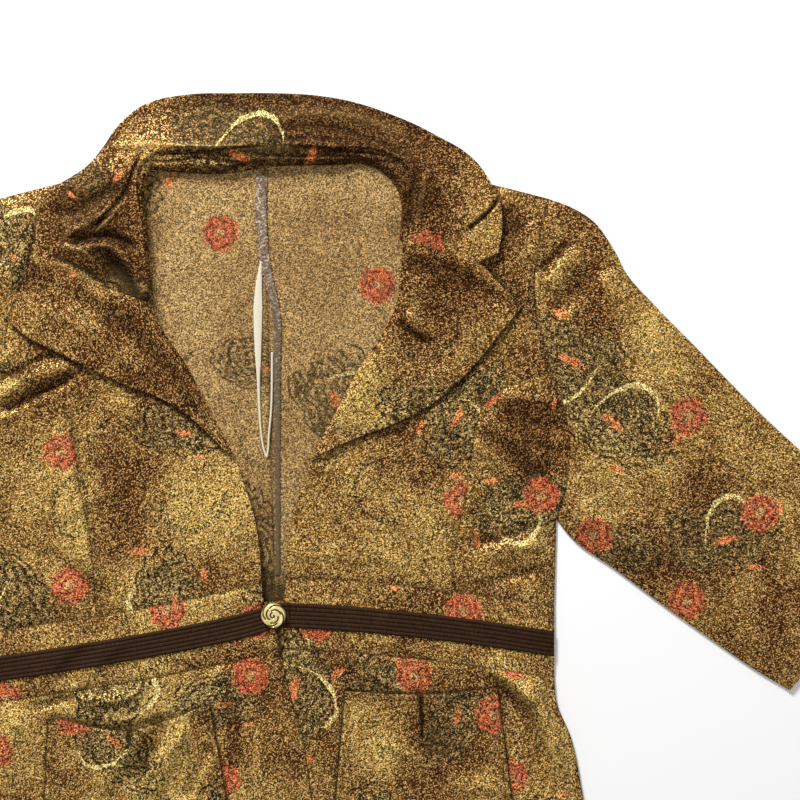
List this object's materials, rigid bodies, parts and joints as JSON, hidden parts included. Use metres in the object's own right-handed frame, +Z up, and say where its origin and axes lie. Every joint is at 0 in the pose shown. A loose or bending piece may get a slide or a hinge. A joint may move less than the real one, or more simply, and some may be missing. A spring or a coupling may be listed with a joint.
{
  "type": "blazer",
  "caption": "Hip-length blazer laid flat on its back: notched collar and lapels, three-quarter sleeves, ribboned waist band, patch pockets and one rose button",
  "frame": {"origin": "middle of the base of the laid-out blazer, on the table", "axes": "+X to the wearer's left, +Y to the collar, +Z up off the table"},
  "size_m": [1.1376, 0.766, 0.0207],
  "materials": {
    "cloth": "glittering printed knit, right side",
    "inside": "paler wrong side of the knit",
    "ribbon": "ribbed satin",
    "satin": "satin",
    "gilt": "pale gilt"
  },
  "bodies": {
    "root": {"front_left": "cloth", "front_right": "cloth", "side_front_left": "cloth", "side_front_right": "cloth", "band_left": "cloth", "band_right": "cloth", "skirt_left": "cloth", "skirt_right": "cloth", "pocket_left": "cloth", "pocket_right": "cloth", "lapel_left": "cloth", "lapel_right": "cloth", "collar": "cloth", "top_sleeve_left": "cloth", "top_sleeve_right": "cloth", "back_left": "inside", "back_right": "inside", "back_band": "inside", "back_skirt": "inside", "middle_allowance": "inside", "under_sleeve_left": "inside", "under_sleeve_right": "inside", "ribbon_left": "ribbon", "ribbon_right": "ribbon", "hanger_loop": "satin", "rose_button": "gilt"}
  },
  "joints": []
}
